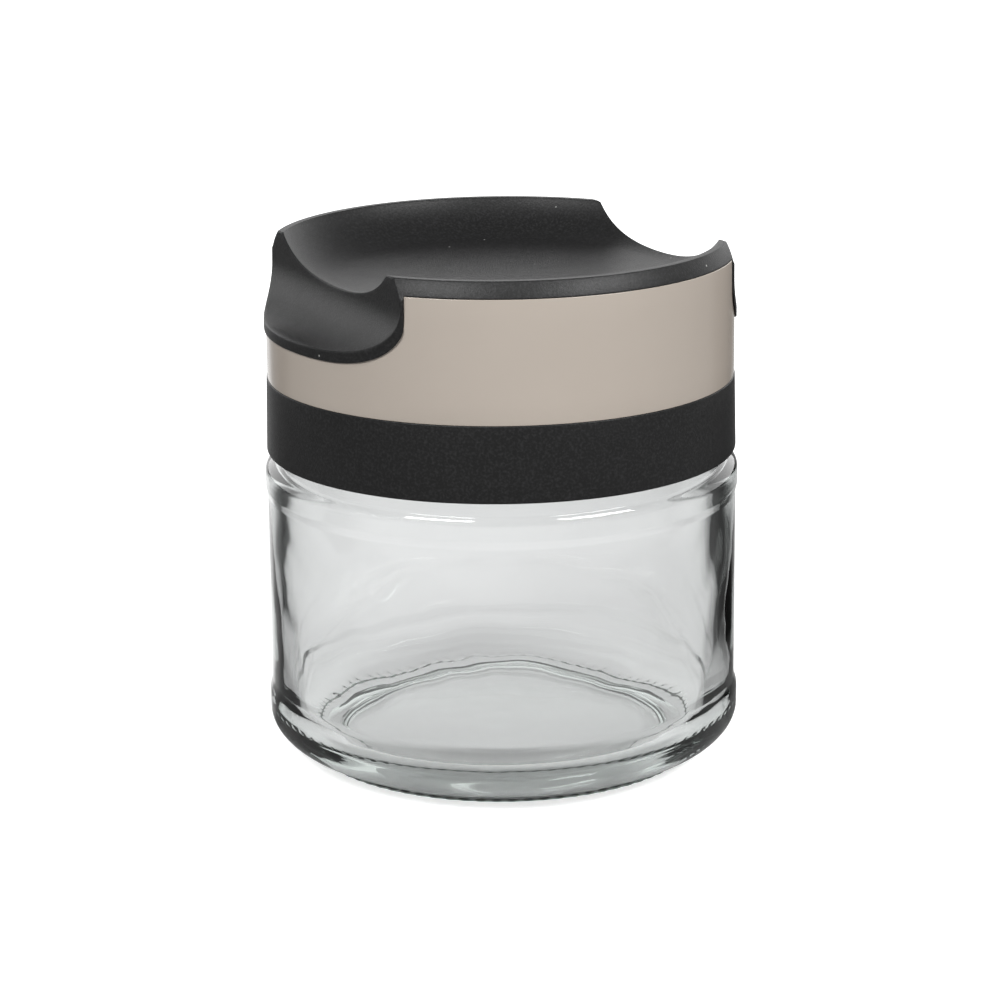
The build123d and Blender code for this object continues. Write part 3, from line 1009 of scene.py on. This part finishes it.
# Floor, lights and backdrop
# Flags and edges are lists of (degrees off straight back, share of light). Both flags are dark beside the jar
# and grow light again towards the camera. Pairs named At are where a step begins and ends.
stageLook = Sizes(
    floorSize=3.0, floorHeight=-0.0001, floorGrey=0.35,
    cameraGrey=0.80, cameraGlow=0.55, whiteAt=(0.12, 0.45),
    throughGlow=0.452, throughWorld=0.84, throughTint=(1.0, 0.98, 1.0, 1.0),
    sideAt=46.5 * mm,
    rightFlag=((0, 1.0), (17, 1.0), (21, 0.75), (24, 0.35), (28, 0.06), (48, 0.05), (64, 0.6), (90, 0.95)),
    leftFlag=((0, 1.0), (24, 1.0), (29, 0.62), (32, 0.3), (36, 0.08), (48, 0.06), (64, 0.6), (90, 0.95)),
    rightNear=0.6, rightNearAt=(78 * mm, 112 * mm), leftNear=0.7, leftNearAt=(112 * mm, 146 * mm),
    rightEdge=((0, 1.0), (8, 1.0), (13, 0.1), (20, 0.0)),
    leftEdge=((0, 1.0), (20, 1.0), (30, 0.35), (50, 0.0)), edgeGlow=0.75, edgeAt=(-0.01, 0.01),
    footShade=0.42, footShadeAt=(-28 * mm, -18 * mm), underFootAt=(40 * mm, 54 * mm),
    frontGain=1.6, frontGainAt=(-76 * mm, -50 * mm), depthGain=(0.94, 1.05),
    depthGainAt=(130 * mm, 340 * mm), sideGain=(1.04, 0.92), sideGainAt=(-60 * mm, 60 * mm),
    front=0.30, behind=0.22, behindAt=(-0.5, 0.5), sides=0.36, sidesAt=(0.55, 0.9),
    above=0.30, aboveAt=(0.35, 0.85), upward=0.6, upwardAt=(0.05, 0.35),
    backdrop=1.9, backdropAt=(0.2, 0.7), backdropTopAt=(0.31, 0.52))


def readStops(net, angle, stops):
    # Reads a list of (degrees, level); angles below the first take its level
    ramp = net.add("ShaderNodeValToRGB", {0: net.over(angle, pi)})
    ramp.color_ramp.interpolation = "EASE"
    points = ramp.color_ramp.elements
    while len(points) < len(stops):
        points.new(0.5)
    for point, (angleAt, level) in zip(points, stops):
        point.position = angleAt / 180
        point.color = (level, level, level, 1)
    return net.red(ramp.outputs[0])


def studioSides(net, place, side):
    # Angles off straight back, seen from the right and from the left side of the jar
    a = radians(view.azimuth)
    across = net.dot(place, (cos(a), sin(a), 0))
    deep = net.dot(place, (-sin(a), cos(a), 0))
    right = net.calc("ARCTAN2", net.minus(across, side), deep)
    left = net.calc("ARCTAN2", net.minus(net.times(across, -1.0), side), deep)
    return right, left, deep, across


def darkerStops(net, right, rightStops, left, leftStops):
    return net.calc("MINIMUM", readStops(net, right, rightStops), readStops(net, left, leftStops))


def clearedTree(owner, kind):
    owner.use_nodes = True
    owner.node_tree.nodes.clear()
    net = Net(owner.node_tree)
    return net, net.add(kind)


def stageFloor():
    look = stageLook
    half, height = look.floorSize, look.floorHeight
    mesh = bpy.data.meshes.new("floor")
    mesh.from_pydata([(x, y, height) for x, y in ((-half, -half), (half, -half), (half, half), (-half, half))],
                     [], [(0, 1, 2, 3)])
    floor = addObject("floor", mesh)
    material = bpy.data.materials.new("paleFloor")
    net, out = clearedTree(material, "ShaderNodeOutputMaterial")
    place = net.add("ShaderNodeTexCoord").outputs["Object"]
    path = net.add("ShaderNodeLightPath").outputs
    camera, through = path["Is Camera Ray"], path["Is Transmission Ray"]
    mirror = net.times(path["Is Glossy Ray"], net.minus(1.0, through))
    right, left, deep, across = studioSides(net, place, look.sideAt)
    distance = net.add("ShaderNodeVectorMath", {0: place}, operation="LENGTH").outputs["Value"]
    # The flags, but the floor close to the jar stays light
    rightShade = net.calc("MAXIMUM", readStops(net, right, look.rightFlag),
                          net.step(distance, *look.rightNearAt, look.rightNear, 0.0))
    leftShade = net.calc("MAXIMUM", readStops(net, left, look.leftFlag),
                         net.step(distance, *look.leftNearAt, look.leftNear, 0.0))
    shade = net.calc("MINIMUM", rightShade, leftShade)
    # Light that only mirroring surfaces see, behind the jar
    edge = net.times(darkerStops(net, right, look.rightEdge, left, look.leftEdge),
                     net.step(deep, *look.edgeAt))
    # Painted shadow under the front of the foot, painted light in front of it, and a painted gain of light with
    # the distance and to each side
    foot = net.calc("MAXIMUM", net.step(deep, *look.footShadeAt, look.footShade, 1.0),
                    net.step(distance, *look.underFootAt))
    foot = net.times(foot, net.step(deep, *look.frontGainAt, look.frontGain, 1.0))
    foot = net.times(foot, net.times(net.step(distance, *look.depthGainAt, *look.depthGain),
                                     net.step(across, *look.sideGainAt, *look.sideGain)))
    grey = net.times(net.minus(1.0, camera), net.times(shade, look.floorGrey))
    diffuse = net.add("ShaderNodeBsdfDiffuse", {
        "Color": net.calc("MULTIPLY_ADD", camera, look.cameraGrey, grey)})
    seen = net.times(camera, net.step(distance, *look.whiteAt, look.cameraGlow, 1.0))
    # Rays through the glass see the floor glow, a painted light that carries the painted shadow and gains above
    crossed = net.times(through, net.times(net.times(shade, foot), look.throughGlow))
    grazed = net.times(mirror, net.times(edge, look.edgeGlow))
    glow = net.add("ShaderNodeEmission", {
        "Strength": net.plus(seen, net.plus(crossed, grazed)),
        "Color": net.mix(through, (1.0, 1.0, 1.0, 1.0), look.throughTint)})
    both = net.add("ShaderNodeAddShader", {0: diffuse.outputs[0], 1: glow.outputs[0]})
    net.feed(out, {"Surface": both.outputs[0]})
    floor.data.materials.append(material)


def stageWorld():
    # White for the camera, pale through the glass; for reflections a dim studio with a low bright backdrop
    look = stageLook
    world = bpy.data.worlds.new("studio")
    bpy.context.scene.world = world
    net, out = clearedTree(world, "ShaderNodeOutputWorld")
    place = net.add("ShaderNodeTexCoord").outputs["Generated"]
    right, left, deep, across = studioSides(net, place, 0.0)
    up = net.add("ShaderNodeSeparateXYZ", {0: place}).outputs[2]
    aside = net.step(net.calc("ABSOLUTE", across), *look.sidesAt)
    low = net.times(net.step(deep, *look.backdropAt), net.step(up, *look.backdropTopAt, 1.0, 0.0))
    shade = net.calc("MAXIMUM", darkerStops(net, right, look.rightFlag, left, look.leftFlag),
                     net.step(up, *look.upwardAt, 0.0, look.upward))
    path = net.add("ShaderNodeLightPath").outputs
    value = net.step(deep, *look.behindAt, look.front, look.behind)
    for share, level in ((aside, look.sides), (net.step(up, *look.aboveAt), look.above),
                         (low, look.backdrop),
                         (path["Is Transmission Ray"], net.times(shade, look.throughWorld)),
                         (path["Is Camera Ray"], 1.0)):
        value = net.out("ShaderNodeMix", {0: share, 2: value, 3: level})
    background = net.add("ShaderNodeBackground", {"Strength": value, "Color": (1, 1, 1, 1)})
    net.feed(out, {"Surface": background.outputs[0]})


def softbox(name, turn, width, power, elevation, distance=1100, height=270):
    light = bpy.data.lights.new(name, "AREA")
    light.shape = "RECTANGLE"
    light.size, light.size_y, light.energy = width * mm, height * mm, power
    lamp = addObject(name, light)
    lamp.location = around(turn, elevation, distance)
    lamp.rotation_euler = (target - lamp.location).to_track_quat("-Z", "Y").to_euler()
    lamp.visible_camera = False


stageFloor()
stageWorld()
softbox("leftBox", turn=-34, width=560, power=8.6, elevation=41)
softbox("rightBox", turn=52, width=640, power=9.6, elevation=39)
bpy.context.scene.view_settings.view_transform = "Standard"
print("stage set")


# Last update of the view layer
bpy.context.view_layer.update()
